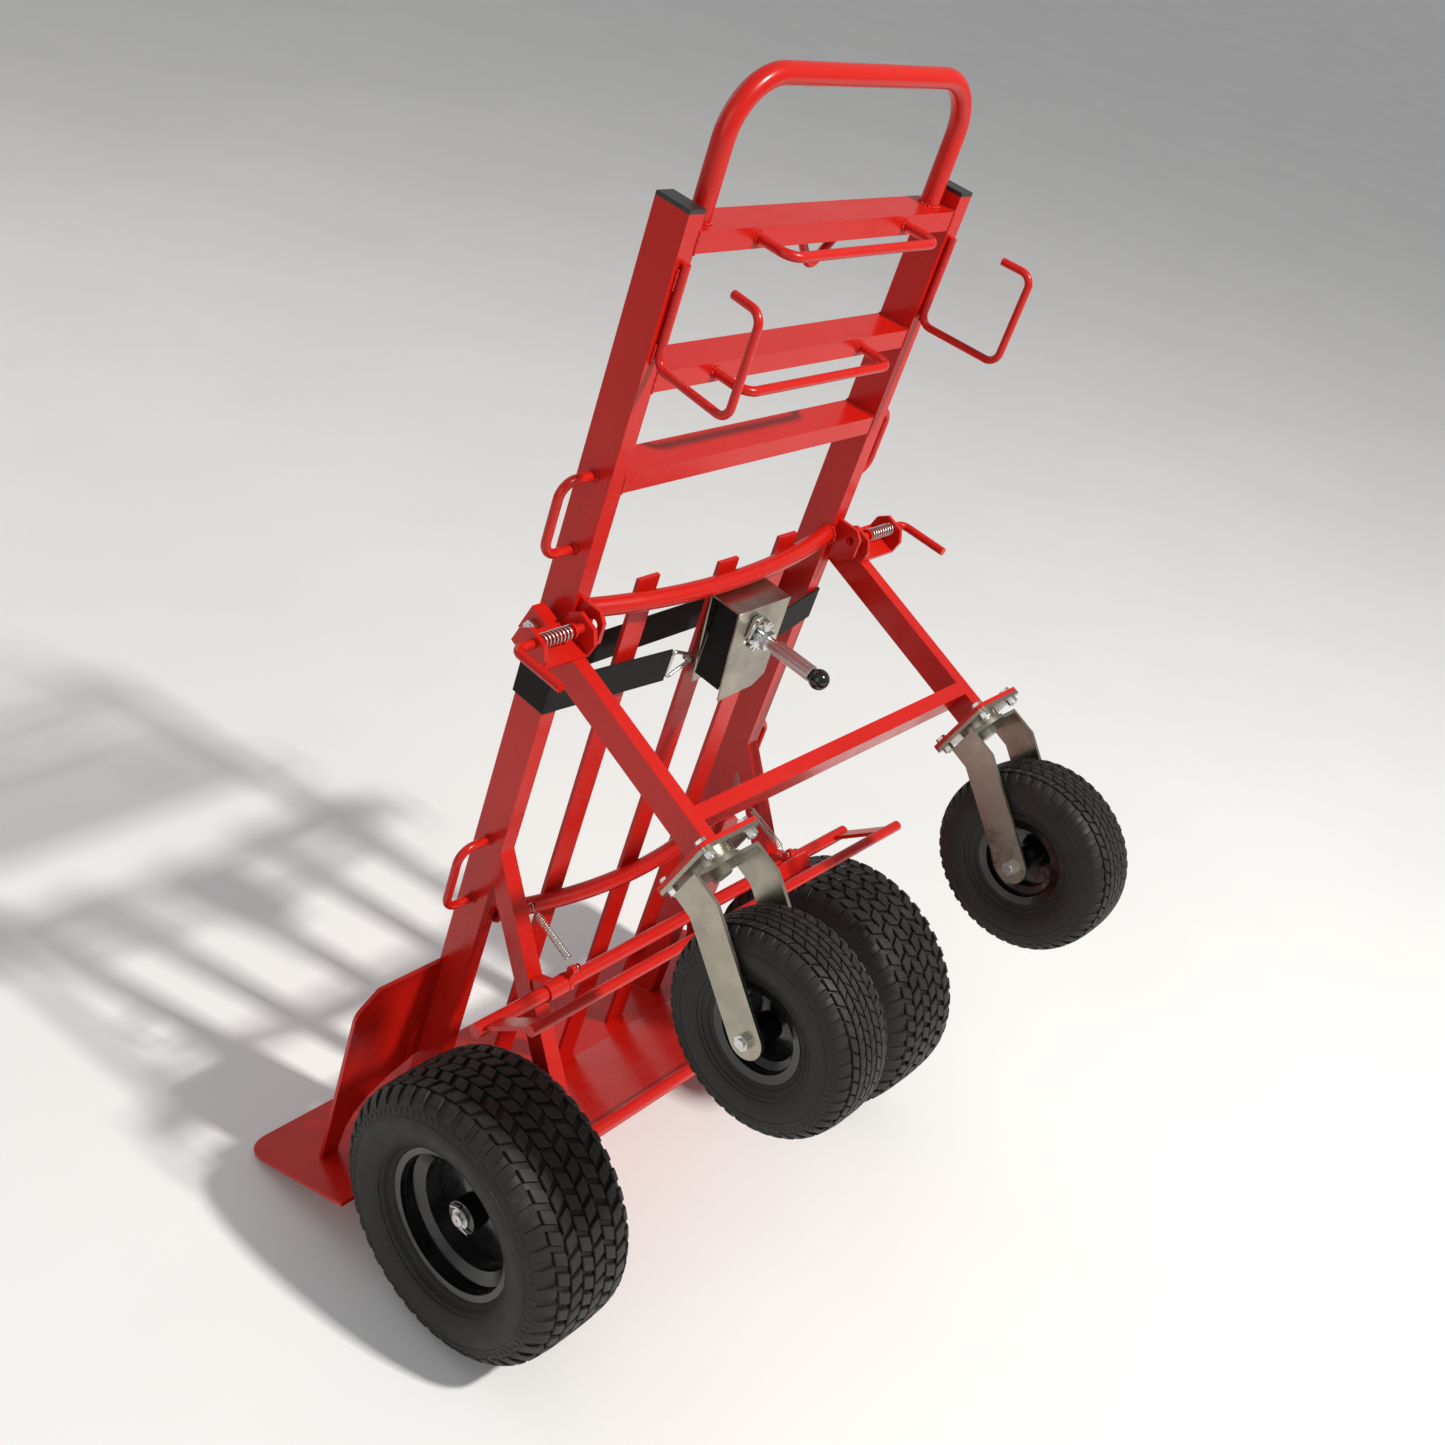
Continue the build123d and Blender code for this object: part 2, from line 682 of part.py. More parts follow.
bolts = None
for x, m in bolt_spots:
    base -= down_leg(x, m, plate_t - 1, plate_t + 7, 4.6)
    top -= down_leg(x, m, plate_t + 5, plate_t + 12, 4.6)
    bolt = down_leg(x, m, plate_t - 2, plate_t + 20, 4)
    bolt += hex_down_leg(x, m, plate_t - 5.5, plate_t, 13)
    bolt += hex_down_leg(x, m, plate_t + 11, plate_t + 18, 13)
    bolts = bolt if bolts is None else bolts + bolt
raceway_t = plate_t + 11
top += down_leg(leg_x, 0, raceway_t, raceway_t + 9, 30)
parts["caster_base_plates"] = base + mirrored(base)
parts["caster_top_plates"] = top + mirrored(top)
parts["caster_bolts"] = bolts + mirrored(bolts)
crown_t = raceway_t + 9 + skin
fork_inside = caster_width / 2 + 3.5
crown = down_leg(leg_x, 0, crown_t, crown_t + 6, 33)
crown += leg_box(
    (leg_x - fork_inside - fork_plate, leg_x + fork_inside + fork_plate),
    (crown_t + 1, crown_t + 6),
    (-fork_width / 2, fork_width / 2),
)
crown += hex_down_leg(leg_x, 0, crown_t + 6, crown_t + 15, 24)
hub_t = caster_drop
hub_m = -caster_trail
half = fork_width / 2
lean = atan2(-hub_m, hub_t - crown_t - 40)
side_plate = Polyline(
    (crown_t + 1, half),
    (crown_t + 44, half),
    (hub_t + half * sin(lean), hub_m + half * cos(lean)),
    (hub_t - half * sin(lean), hub_m - half * cos(lean)),
    (crown_t + 32, -half),
    (crown_t + 1, -half),
    close=True,
)
side_plate = make_face(side_plate) + Pos(hub_t, hub_m) * Circle(half)
side_plate = Plane(origin=(0, 0, 0), x_dir=(0, 1, 0), z_dir=(1, 0, 0)) * side_plate
side_solid = extrude(side_plate, fork_plate)
fork = crown
for x in (leg_x - fork_inside - fork_plate, leg_x + fork_inside):
    fork += LEG.location * Pos(x, 0, 0) * side_solid
hub_at = at_leg(0, hub_t, hub_m)
fork -= across(200, 400, hub_at.Y, hub_at.Z, 6.0)
parts["caster_fork_left"] = fork
parts["caster_fork_right"] = mirrored(fork)
bolt_end = fork_inside + fork_plate
axle_bolt = across(leg_x - bolt_end - 9, leg_x + bolt_end + 10, hub_at.Y, hub_at.Z, 6.0)
axle_bolt += hexagon_across(leg_x + bolt_end, leg_x + bolt_end + 7, hub_at.Y, hub_at.Z, 18)
axle_bolt += hexagon_across(leg_x - bolt_end - 7, leg_x - bolt_end, hub_at.Y, hub_at.Z, 18)
parts["caster_axle_left"] = axle_bolt
parts["caster_axle_right"] = mirrored(axle_bolt)
caster_rim_solid = pressed_wheel(
    caster_width * 0.33, caster_rim, 17, 6.0 + running, 2 * fork_inside - 1, 6
)
place = Pos(leg_x, hub_at.Y, hub_at.Z)
parts["caster_rim_left"] = place * caster_rim_solid
parts["caster_rim_right"] = mirrored(parts["caster_rim_left"])
parts["caster_tyre_left"] = place * caster_tyre
parts["caster_tyre_right"] = mirrored(parts["caster_tyre_left"])



# Strap winch: folded bracket, drum with wound strap, ratchet wheel and pawl, handle and knob
def along_n(x, s, n, radius):
    """Round bar square to the rails between two distances n behind them."""
    disc = Cylinder(radius, n[1] - n[0], align=(Align.CENTER, Align.CENTER, Align.MIN))
    return RAIL.location * Pos(x, s, -n[1]) * disc


def hex_along_n(x, s, n, flats):
    prism = extrude(RegularPolygon(flats / 2, 6, major_radius=False), n[1] - n[0])
    return RAIL.location * Pos(x, s, -n[1]) * prism


def plate_along_n(outline, n):
    plate = extrude(make_face(Polyline(*outline, close=True)), n[1] - n[0])
    return RAIL.location * Pos(0, 0, -n[1]) * plate


web_s = upper_tube_s - loop_tube / 2
cheek = [
    (winch_x[1], web_s),
    (winch_x[0], web_s),
    (winch_x[0] - 6, web_s - 128),
    (winch_x[0] + 14, web_s - 143),
    (winch_x[1] - 24, web_s - 148),
]
winch = rail_box(winch_x, (web_s - winch_sheet, web_s), winch_n)
winch += plate_along_n(cheek, (winch_n[0], winch_n[0] + winch_sheet))
winch += plate_along_n(cheek, (winch_n[1] - winch_sheet, winch_n[1]))
winch -= along_n(drum_x, drum_s, (0, 200), winch_shaft / 2 + running)
latch_x = winch_x[1] - 8
latch_n = winch_n[0] - 6
winch += along_n(latch_x, strap_s, (latch_n - 5, winch_n[0] + 1), 3.5)
winch += along_n(latch_x, strap_s, (latch_n - 6.5, latch_n - 4.5), 5.5)
pawl_at = (drum_x + 21, drum_s + 29)
winch += along_n(*pawl_at, (winch_n[1] - 1, winch_n[1] + 8), 4)
parts["winch_bracket"] = winch
shaft = along_n(drum_x, drum_s, (winch_n[0] - 7, winch_n[1] + 34), winch_shaft / 2)
shaft += along_n(drum_x, drum_s, (winch_n[0] - 5, winch_n[0] - 1), 12)
parts["winch_shaft"] = shaft
roll = along_n(drum_x, drum_s, (winch_n[0] + winch_sheet + 1, winch_n[1] - winch_sheet - 1), roll_radius)
roll -= along_n(drum_x, drum_s, (0, 200), winch_shaft / 2)
parts["strap_roll"] = roll
teeth = Circle(23)
for i in range(12):
    notch = make_face(Polyline((16, 0), (25, 0), (24, 9), close=True))
    teeth -= Rot(0, 0, i * 30) * notch
ratchet = extrude(teeth, 5) - Pos(0, 0, -5) * Cylinder(winch_shaft / 2, 30)
parts["ratchet_wheel"] = RAIL.location * Pos(drum_x, drum_s, -winch_n[1] - 6) * ratchet
pawl = plate_along_n(
    [
        (pawl_at[0] - 7, pawl_at[1] + 7),
        (pawl_at[0] + 8, pawl_at[1] + 7),
        (pawl_at[0] + 10, pawl_at[1] - 24),
        (pawl_at[0] + 4, pawl_at[1] - 26),
        (pawl_at[0] - 1, pawl_at[1] - 9),
        (pawl_at[0] - 7, pawl_at[1] - 7),
    ],
    (winch_n[1] + 1.2, winch_n[1] + 5.8),
)
pawl -= along_n(*pawl_at, (0, 200), 4 + running)
parts["winch_pawl"] = pawl
handle_start = winch_n[1] + 34
handle = along_n(drum_x, drum_s, (handle_start, knob_n - 14), 11)
handle += hex_along_n(drum_x, drum_s, (knob_n - 20, knob_n - 12), 19)
handle += hex_along_n(drum_x, drum_s, (winch_n[1] + 12, winch_n[1] + 20), 24)
handle -= along_n(drum_x, drum_s, (0, handle_start), winch_shaft / 2)
handle += along_n(drum_x, drum_s, (knob_n - 14, knob_n - 2), 4)
parts["winch_handle"] = handle
knob = RAIL.location * Pos(drum_x, drum_s, -knob_n) * Sphere(knob_radius)
knob -= along_n(drum_x, drum_s, (knob_n - 20, knob_n - 11.9), 20)
knob -= along_n(drum_x, drum_s, (knob_n - 15, knob_n - 2), 4)
parts["winch_knob"] = knob

# Webbing strap: drum, round the right rail, across the front, round the left rail, to the hook
hook_wire = 5.0
hook_x = latch_x + 38
parts["strap_hook"] = rod(
    [
        at_rail(latch_x, strap_s + 6, latch_n),
        at_rail(hook_x, strap_s + 22, latch_n),
        at_rail(hook_x, strap_s - 22, latch_n),
        at_rail(latch_x, strap_s - 6, latch_n),
    ],
    hook_wire,
    5,
)
side = outer_x + skin
front = rail_depth + skin
thick = strap_thickness
strap = Polyline(
    (hook_x + hook_wire / 2, -latch_n + thick),
    (side, -skin),
    (side, front),
    (-side, front),
    (-side, -skin),
    (winch_x[0] + 10, -40 + thick),
    (winch_x[0] + 10, -40),
    (-side - thick, -skin - thick),
    (-side - thick, front + thick),
    (side + thick, front + thick),
    (side + thick, -skin - thick),
    (hook_x + hook_wire / 2, -latch_n),
    close=True,
)
strap = extrude(Plane.XZ * make_face(strap), -strap_width)
strap = RAIL.location * Pos(0, strap_s - strap_width / 2, 0) * strap
tail_x = drum_x + roll_radius + skin
tail = (winch_n[0] + winch_sheet + 1, winch_n[1] - winch_sheet - 1)
parts["strap"] = strap + rail_box((tail_x, tail_x + thick), (web_s - 130, web_s - 6), tail)

# Standing attitude: tipped forwards about X until the toe's front edge is level with the wheels,
# origin on the floor under the middle of the whole truck
reach = hypot(axle_y - plate_front, wheel_radius - plate_top + plate_thickness)
tip = degrees(
    asin(wheel_radius / reach)
    - atan2(wheel_radius - plate_top + plate_thickness, axle_y - plate_front)
)
tipped = Rot(tip, 0, 0)
lowest = plate_front * sin(radians(tip)) + (plate_top - plate_thickness) * cos(radians(tip))
boxes = [(tipped * shape).bounding_box() for shape in parts.values()]
middle_y = (min(b.min.Y for b in boxes) + max(b.max.Y for b in boxes)) / 2
stand = Pos(0, -middle_y, -lowest) * tipped
for name, shape in parts.items():
    standing = stand * shape
    standing.label = name
    export_step(standing, f"parts/{name}.step")
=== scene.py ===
import json
import math
import random
import bmesh
import bpy
from mathutils import Matrix, Vector


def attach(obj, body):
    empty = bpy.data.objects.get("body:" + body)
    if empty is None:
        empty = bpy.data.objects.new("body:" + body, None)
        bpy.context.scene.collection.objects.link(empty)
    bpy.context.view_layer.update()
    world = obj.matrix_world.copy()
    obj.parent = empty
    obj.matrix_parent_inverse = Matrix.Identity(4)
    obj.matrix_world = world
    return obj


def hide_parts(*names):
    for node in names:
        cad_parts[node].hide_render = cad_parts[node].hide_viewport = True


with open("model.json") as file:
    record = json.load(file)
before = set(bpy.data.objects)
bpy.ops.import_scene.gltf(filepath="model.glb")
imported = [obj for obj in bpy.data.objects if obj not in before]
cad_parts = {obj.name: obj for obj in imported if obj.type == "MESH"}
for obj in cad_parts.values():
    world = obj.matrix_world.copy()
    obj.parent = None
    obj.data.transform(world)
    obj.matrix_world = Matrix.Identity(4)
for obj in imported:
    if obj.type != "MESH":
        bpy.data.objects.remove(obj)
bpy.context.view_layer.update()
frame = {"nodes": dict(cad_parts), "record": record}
nodes = frame["nodes"]
random.seed(7)

# Rail frame in the row's frame, metres
TIP = math.radians(19.918418)
LEAN = math.radians(25.6)
SHIFT = Vector((0, -0.140494, -0.062670))
AXLE = Vector((0, -0.00319, 0.203))
WHEEL_X = 0.3865
CASTER_X = 0.290
CASTER_HUB = Vector((0, 0.27689, 0.69439))


def from_truck(x, y, z):
    """Point given with the toe plate level, as it stands on the floor."""
    return Matrix.Rotation(TIP, 4, "X") @ Vector((x, y, z)) + SHIFT


def at_rail(x, s, n):
    y = -0.1339 + s * math.sin(LEAN) + n * math.cos(LEAN)
    return from_truck(x, y, s * math.cos(LEAN) - n * math.sin(LEAN))


def direction(a, b):
    return (b - a).normalized()


# ---------------------------------------------------------------- materials
class Nodes:
    """Small helper that adds shader nodes and links them."""

    def __init__(self, name):
        self.mat = bpy.data.materials.new(name)
        self.mat.use_nodes = True
        self.tree = self.mat.node_tree
        self.bsdf = self.tree.nodes["Principled BSDF"]
        self.coords = self.add("ShaderNodeTexCoord").outputs["Object"]

    def add(self, kind, **inputs):
        node = self.tree.nodes.new(kind)
        for key, value in inputs.items():
            self.put(node.inputs[key.replace("_", " ")], value)
        return node

    def put(self, socket, value):
        if isinstance(value, bpy.types.NodeSocket):
            self.tree.links.new(value, socket)
        else:
            socket.default_value = value

    def set(self, **inputs):
        for key, value in inputs.items():
            self.put(self.bsdf.inputs[key.replace("_", " ")], value)

    def noise(self, scale, detail=4.0, rough=0.6, vector=None):
        node = self.add("ShaderNodeTexNoise", Scale=scale, Detail=detail, Roughness=rough)
        self.put(node.inputs["Vector"], vector or self.coords)
        return node.outputs["Fac"]

    def ramp(self, fac, stops):
        node = self.add("ShaderNodeValToRGB", Fac=fac)
        ramp = node.color_ramp
        while len(ramp.elements) < len(stops):
            ramp.elements.new(0.5)
        for element, (place, colour) in zip(ramp.elements, stops):
            element.position = place
            element.color = (*colour, 1) if len(colour) == 3 else colour
        return node.outputs["Color"]

    def grey(self, fac, low, high, a=0.35, b=0.65):
        node = self.add("ShaderNodeMapRange", Value=fac)
        node.inputs["From Min"].default_value = a
        node.inputs["From Max"].default_value = b
        node.inputs["To Min"].default_value = low
        node.inputs["To Max"].default_value = high
        return node.outputs["Result"]

    def mix(self, fac, a, b, how="MIX"):
        node = self.add("ShaderNodeMix")
        node.data_type = "RGBA"
        node.blend_type = how
        self.put(node.inputs["Factor"], fac)
        self.put(node.inputs["A"], a)
        self.put(node.inputs["B"], b)
        return node.outputs["Result"]

    def bump(self, *layers):
        """Layers are (height, strength, distance); each sits on the last."""
        normal = None
        for height, strength, distance in layers:
            node = self.add("ShaderNodeBump", Height=height, Strength=strength, Distance=distance)
            if normal is not None:
                self.put(node.inputs["Normal"], normal)
            normal = node.outputs["Normal"]
        self.put(self.bsdf.inputs["Normal"], normal)


def red_paint():
    m = Nodes("red_paint")
    broad = m.noise(3.0, 3)
    fine = m.noise(160.0, 2)
    dust = m.noise(14.0, 8, 0.72)
    body = m.ramp(broad, [(0.3, (0.47, 0.0070, 0.0035)), (0.7, (0.53, 0.0100, 0.0050))])
    dusty = m.mix(m.grey(dust, 0.0, 0.08, 0.56, 0.78), body, (0.50, 0.09, 0.05, 1))
    specks = m.grey(m.noise(420.0, 1), 0.0, 0.14, 0.72, 0.78)
    m.set(Base_Color=m.mix(specks, dusty, (0.26, 0.008, 0.005, 1)))
    m.set(Roughness=m.grey(dust, 0.22, 0.36), Specular_IOR_Level=0.30)
    m.set(Coat_Weight=0.12, Coat_Roughness=0.08)
    m.bump((fine, 0.07, 0.0005), (m.noise(45.0, 3), 0.04, 0.0010))
    return m.mat


def plated(name, base, tint, rough, streak):
    m = Nodes(name)
    stretch = m.add("ShaderNodeMapping", Vector=m.coords)
    stretch.inputs["Scale"].default_value = streak
    grain = m.noise(60.0, 4, 0.6, stretch.outputs["Vector"])
    cloud = m.noise(16.0, 6, 0.65)
    colour = m.ramp(cloud, [(0.35, base), (0.62, tint)])
    m.set(Base_Color=m.mix(m.grey(grain, 0, 0.3), colour, (0.30, 0.29, 0.26, 1)))
    m.set(Metallic=1.0, Roughness=m.grey(cloud, rough, rough + 0.16))
    m.bump((grain, 0.08, 0.0004), (m.noise(300.0, 2), 0.05, 0.0003))
    return m.mat


def tyre_rubber():
    m = Nodes("tyre_rubber")
    dust = m.noise(22.0, 8, 0.7)
    fine = m.noise(520.0, 3)
    clean, worn, dusty = (0.010, 0.0095, 0.0088), (0.019, 0.0175, 0.0155), (0.062, 0.054, 0.042)
    colour = m.ramp(dust, [(0.36, clean), (0.58, worn), (0.8, dusty)])
    m.set(Base_Color=colour, Roughness=m.grey(dust, 0.44, 0.70), Specular_IOR_Level=0.32)
    m.bump((fine, 0.22, 0.0006), (dust, 0.15, 0.0012))
    return m.mat


def black_gloss(name, rough, dusty):
    m = Nodes(name)
    dust = m.noise(30.0, 8, 0.7)
    colour = m.ramp(dust, [(0.45, (0.006, 0.006, 0.0065)), (0.85, (dusty, dusty * 0.95, dusty * 0.85))])
    m.set(Base_Color=colour, Roughness=m.grey(dust, rough, rough + 0.2), Coat_Weight=0.3)
    m.bump((m.noise(240.0, 2), 0.06, 0.0005), (m.noise(40.0, 3), 0.05, 0.001))
    return m.mat


def webbing():
    m = Nodes("webbing")
    waves = []
    for kind, scale in (("X", 330.0), ("Z", 210.0)):
        wave = m.add("ShaderNodeTexWave", Vector=m.coords, Scale=scale, Distortion=0.6)
        wave.bands_direction = kind
        waves.append(wave.outputs["Fac"])
    weave = m.add("ShaderNodeMath")
    weave.operation = "MULTIPLY"
    m.put(weave.inputs[0], waves[0])
    m.put(weave.inputs[1], waves[1])
    fuzz = m.noise(700.0, 3)
    colour = m.ramp(weave.outputs[0], [(0.1, (0.002, 0.002, 0.0022)), (0.9, (0.009, 0.0085, 0.008))])
    m.set(Base_Color=m.mix(m.grey(fuzz, 0, 0.3), colour, (0.016, 0.015, 0.014, 1)), Roughness=0.78)
    m.set(Sheen_Weight=0.03, Specular_IOR_Level=0.25)
    m.bump((weave.outputs[0], 0.5, 0.0008), (fuzz, 0.3, 0.0004))
    return m.mat


PAINT = red_paint()
ZINC = plated("zinc", (0.74, 0.75, 0.76), (0.60, 0.59, 0.55), 0.22, (1, 1, 8))
# Sheet zinc base and tint are darker and browner than bare zinc: painted reflection of the surroundings,
# darkening the sheet parts
SHEET = plated("zinc_sheet", (0.44, 0.40, 0.32), (0.35, 0.32, 0.26), 0.22, (1, 1, 6))
RUBBER = tyre_rubber()
RIM = black_gloss("black_rim", 0.12, 0.012)
CAP = black_gloss("black_plastic", 0.38, 0.03)
KNOB = black_gloss("knob", 0.10, 0.015)
WEB = webbing()
SLOTS = {
    "red_paint": PAINT, "zinc": ZINC, "zinc_sheet": SHEET, "tyre_rubber": RUBBER,
    "black_rim": RIM, "black_plastic": CAP, "knob": KNOB, "webbing": WEB,
}
for entry in frame["record"]["subparts"]:
    node = nodes[entry["node"]]
    node.data.materials.clear()
    node.data.materials.append(SLOTS[entry["material_slot"]])
nodes["axle"].data.materials[0] = PAINT


# Half profile of an axle end, (reach outwards, radius): sleeve, chamfer, face, centre-drill dimple
AXLE_END_PROFILE = [(-0.0078, 0.00965), (-0.0006, 0.00965), (0.0, 0.0088), (0.0, 0.0022), (-0.0006, 0.0014)]
AXLE_END_FACETS = 40
AXLE_HALF_LENGTH = 0.437
AXLE_END_PROUD = 0.0004


def bare_end(name, x):
    """Machined end of the painted axle: a chamfered disc with a centre-drill dimple."""
    outward = 1 if x > 0 else -1
    turn = [2 * math.pi * k / AXLE_END_FACETS for k in range(AXLE_END_FACETS)]
    bm = bmesh.new()
    rings = []
    for reach, radius in AXLE_END_PROFILE:
        circle = [(outward * reach, radius * math.cos(t), radius * math.sin(t)) for t in turn]
        rings.append([bm.verts.new(point) for point in circle])
    for a, b in zip(rings, rings[1:]):
        for k in range(AXLE_END_FACETS):
            j = (k + 1) % AXLE_END_FACETS
            bm.faces.new((a[k], a[j], b[j], b[k]))
    bm.faces.new(rings[0])
    bm.faces.new(rings[-1])
    bmesh.ops.recalc_face_normals(bm, faces=bm.faces)
    mesh = bpy.data.meshes.new(name)
    bm.to_mesh(mesh)
    bm.free()
    mesh.materials.append(ZINC)
    obj = bpy.data.objects.new(name, mesh)
    bpy.context.collection.objects.link(obj)
    obj.location = AXLE + Vector((x + outward * AXLE_END_PROUD, 0, 0))
    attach(obj, "frame")


bare_end("axle_end_left", AXLE_HALF_LENGTH)
bare_end("axle_end_right", -AXLE_HALF_LENGTH)


# ---------------------------------------------------------------- tyres
def smooth_profile(points, steps):
    """Catmull-Rom curve through (along, radius) points."""
    out = []
    ends = [points[0]] + points + [points[-1]]
    for p0, p1, p2, p3 in zip(ends, ends[1:], ends[2:], ends[3:]):
        for i in range(steps):
            t = i / steps
            out.append(tuple(
                0.5 * (2 * b + (c - a) * t + (2 * a - 5 * b + 4 * c - d) * t * t
                       + (3 * b - a - 3 * c + d) * t ** 3)
                for a, b, c, d in zip(p0, p1, p2, p3)
            ))
    out.append(points[-1])
    return out


class Section:
    """Half a tyre's section, read by the distance from the crown."""

    def __init__(self, points):
        self.points = smooth_profile(points, 8)
        self.run = [0.0]
        for a, b in zip(self.points, self.points[1:]):
            self.run.append(self.run[-1] + math.hypot(b[0] - a[0], b[1] - a[1]))

    def at(self, s):
        s = max(0.0, min(s, self.run[-1] - 1e-6))
        i = max(k for k, r in enumerate(self.run) if r <= s)
        t = (s - self.run[i]) / (self.run[i + 1] - self.run[i])
        a, b = self.points[i], self.points[i + 1]
        dx, dr = b[0] - a[0], b[1] - a[1]
        length = math.hypot(dx, dr)
        return a[0] + dx * t, a[1] + dr * t, -dr / length, dx / length


def wheel_point(side, x, r, angle):
    return Vector((side * x, r * math.sin(angle), r * math.cos(angle)))


def lug(bm, section, side, s0, s1, a0, a1, skew, low, high, chamfer):
    """One tread block between distances s0 and s1 from the crown and angles a0 and a1."""
    rows = 4
    rings = []
    for height, inset in ((-0.0015, 0.0), (0.72, 0.0), (1.0, chamfer)):
        ring = []
        for i in range(rows + 1):
            s = s0 + inset + (s1 - s0 - 2 * inset) * i / rows
            x, r, nx, nr = section.at(s)
            h = low + (high - low) * i / rows
            lift = h * height if height > 0 else height
            turn = skew * (i / rows - 0.5)
            inside = inset / r
            ring.append([
                wheel_point(side, x + nx * lift, r + nr * lift, a + turn)
                for a in (a0 + inside, (a0 + a1) / 2, a1 - inside)
            ])
        loop = [row[0] for row in ring] + [ring[-1][1]] + [row[2] for row in reversed(ring)] + [ring[0][1]]
        rings.append(([bm.verts.new(p) for p in loop], ring))
    for (a, _), (b, _) in zip(rings, rings[1:]):
        for i in range(len(a)):
            j = (i + 1) % len(a)
            bm.faces.new((a[i], a[j], b[j], b[i]))
    loop, ring = rings[-1]
    count = rows + 1
    left = loop[:count]
    right = list(reversed(loop[count + 1:2 * count + 1]))
    middle = [loop[-1]] + [bm.verts.new(ring[i][1]) for i in range(1, rows)] + [loop[count]]
    for i in range(rows):
        bm.faces.new((left[i], left[i + 1], middle[i + 1], middle[i]))
        bm.faces.new((middle[i], middle[i + 1], right[i + 1], right[i]))


def rib(bm, section, side, s0, height, width, segments):
    """Thin raised ring moulded on the sidewall."""
    offsets = ((0, -0.0004), (0.3, height), (0.7, height), (1, -0.0004))
    rings = []
    for k in range(segments):
        angle = 2 * math.pi * k / segments
        row = []
        for share, lift in offsets:
            x, r, nx, nr = section.at(s0 + share * width)
            row.append(bm.verts.new(wheel_point(side, x + nx * lift, r + nr * lift, angle)))
        rings.append(row)
    for k in range(segments):
        a, b = rings[k], rings[(k + 1) % segments]
        for i in range(3):
            bm.faces.new((a[i], a[i + 1], b[i + 1], b[i]))


def make_tyre(name, outline, rows, count, shoulder, sipes, ribs, node, centre, body):
    section = Section(outline)
    bm = bmesh.new()
    segments = count * 4
    full = [(-x, r) for x, r in reversed(section.points[1:])] + list(section.points)
    inner = [(x * 0.9, r - 0.006) for x, r in reversed(full)]
    loop = full + inner
    rings = []
    for k in range(segments):
        angle = 2 * math.pi * k / segments
        rings.append([bm.verts.new(wheel_point(1, x, r, angle)) for x, r in loop])
    for k in range(segments):
        a, b = rings[k], rings[(k + 1) % segments]
        for i in range(len(loop)):
            j = (i + 1) % len(loop)
            bm.faces.new((a[i], a[j], b[j], b[i]))
    pitch = 2 * math.pi / count
    for side in (-1, 1):
        for number, (s0, s1, height, fill, skew) in enumerate(rows):
            offset = pitch * (0.5 * number + (0.25 if side > 0 else 0.0))
            lean = skew * pitch * (1 if number % 2 else -1)
            for k in range(count):
                a0 = k * pitch + offset
                lug(bm, section, side, s0, s1, a0, a0 + pitch * fill, lean, height, height, 0.0009)
        s0, s1, low, high = shoulder
        offset = pitch * (0.5 * len(rows) + (0.25 if side > 0 else 0.0))
        for k in range(count):
            a0 = k * pitch + offset
            lug(bm, section, side, s0, s1, a0, a0 + pitch * 0.6, pitch * 0.12, low, high, 0.0009)
        s0, s1, height = sipes
        for k in range(count * 2):
            a0 = k * pitch / 2
            lug(bm, section, side, s0, s1, a0, a0 + pitch * 0.24, 0.0, height, height * 0.6, 0.0003)
        for s, height, width in ribs:
            rib(bm, section, side, s, height, width, segments)
    bmesh.ops.recalc_face_normals(bm, faces=bm.faces)
    mesh = bpy.data.meshes.new(name)
    bm.to_mesh(mesh)
    bm.free()
    mesh.materials.append(RUBBER)
    obj = bpy.data.objects.new(name, mesh)
    bpy.context.collection.objects.link(obj)
    obj.location = centre
    mesh.polygons.foreach_set("use_smooth", [False] * len(mesh.polygons))
    for polygon in mesh.polygons[: segments * len(loop)]:
        polygon.use_smooth = True
    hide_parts(node)
    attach(obj, body)
    return obj


# Half sections from the crown to the bead, (distance along the axle, radius)
MAIN = [(0, 0.1965), (0.030, 0.1960), (0.056, 0.1940), (0.072, 0.1885), (0.081, 0.178),
        (0.0868, 0.160), (0.0868, 0.144), (0.081, 0.127), (0.0715, 0.1165), (0.0600, 0.1130),
        (0.0572, 0.1045)]
# Tread rows: start and end from the crown, height, share of the pitch, slant
MAIN_ROWS = [(0.0015, 0.0185, 0.0062, 0.72, 0.30), (0.0215, 0.0390, 0.0062, 0.70, 0.34),
             (0.0420, 0.0590, 0.0060, 0.66, 0.30)]
SMALL = [(0, 0.1292), (0.016, 0.1290), (0.030, 0.1272), (0.0395, 0.1228), (0.0440, 0.116),
         (0.0472, 0.101), (0.0468, 0.088), (0.0435, 0.076), (0.0395, 0.0680), (0.0330, 0.0645),
         (0.0310, 0.0555)]
SMALL_ROWS = [(0.0008, 0.0085, 0.0036, 0.93, 0.42), (0.0105, 0.0190, 0.0036, 0.93, 0.42),
              (0.0210, 0.0300, 0.0034, 0.86, 0.34)]
